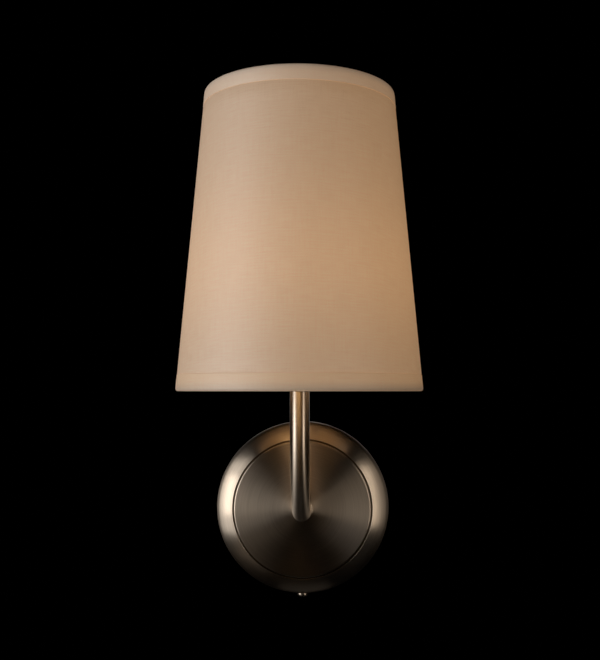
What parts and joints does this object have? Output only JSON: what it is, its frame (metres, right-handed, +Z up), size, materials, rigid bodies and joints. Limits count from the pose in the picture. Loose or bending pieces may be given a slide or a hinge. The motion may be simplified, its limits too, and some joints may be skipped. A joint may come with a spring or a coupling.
{
  "type": "fabric shade wall light",
  "caption": "Wall sconce: round brushed plate, bent tube arm, screw lamp holder and a tapered fabric shade open at both ends.",
  "frame": {"origin": "middle of the round backplate, on the wall plane", "axes": "+Y into the wall, -Y out of the front, +Z up along the shade's axis"},
  "size_m": [0.1498, 0.1669, 0.3243],
  "materials": {
    "brushed_nickel": "brushed",
    "screw_nickel": "polished",
    "shade_fabric": "linen weave",
    "trim_fabric": "linen weave",
    "frame_wire": "white powder coat",
    "zinc_steel": "zinc plated",
    "earth_brass": "satin",
    "contact_brass": "satin",
    "block_nylon": "natural",
    "bush_plastic": "matte",
    "live_sleeve": "satin",
    "neutral_sleeve": "satin",
    "holder_plastic": "semi-gloss",
    "bulb_glass": "opal",
    "bulb_metal": "satin",
    "bulb_insulator": "black glass",
    "stem_glass": "clear",
    "filament_metal": "matt"
  },
  "bodies": {
    "root": {"backplate": "brushed_nickel", "arm_tube": "brushed_nickel", "arm_collar": "brushed_nickel", "canopy_screws": "screw_nickel", "mounting_strap": "zinc_steel", "earth_screw": "earth_brass", "earth_washer": "earth_brass", "terminal_block": "block_nylon", "terminal_sleeves": "contact_brass", "terminal_screws": "zinc_steel", "block_screw": "zinc_steel", "arm_nipple": "zinc_steel", "arm_lock_washer": "zinc_steel", "arm_nut": "zinc_steel", "nipple_bush": "bush_plastic", "live_lead": "live_sleeve", "neutral_lead": "neutral_sleeve", "holder_washer": "brushed_nickel", "holder_nipple": "zinc_steel", "holder_base": "holder_plastic", "holder_lock_screw": "zinc_steel", "holder_insert": "holder_plastic", "holder_terminal_screws": "zinc_steel", "centre_contact": "contact_brass", "side_contact": "contact_brass", "holder_sleeve": "holder_plastic"},
    "shade": {"shade_cover": "shade_fabric", "shade_seam": "trim_fabric", "bottom_wire_ring": "frame_wire", "top_wire_ring": "frame_wire", "bottom_trim": "trim_fabric", "top_trim": "trim_fabric", "fitter_ring": "frame_wire", "fitter_spokes": "frame_wire"},
    "ring_nut": {"shade_ring_nut": "holder_plastic"},
    "bulb": {"bulb_contact": "bulb_metal", "bulb_insulator": "bulb_insulator", "bulb_cap": "bulb_metal", "bulb_glass": "bulb_glass", "bulb_stem": "stem_glass", "bulb_filament": "filament_metal"}
  },
  "joints": [
    {"name": "shade_turn", "type": "hinge", "parent": "root", "child": "shade", "pos_m": [0, -0.092, 0.112], "axis": [0, 0, 1], "continuous": true},
    {"name": "ring_nut_turn", "type": "hinge", "parent": "root", "child": "ring_nut", "pos_m": [0, -0.092, 0.117], "axis": [0, 0, 1], "continuous": true},
    {"name": "bulb_turn", "type": "hinge", "parent": "root", "child": "bulb", "pos_m": [0, -0.092, 0.13], "axis": [0, 0, 1], "continuous": true}
  ]
}
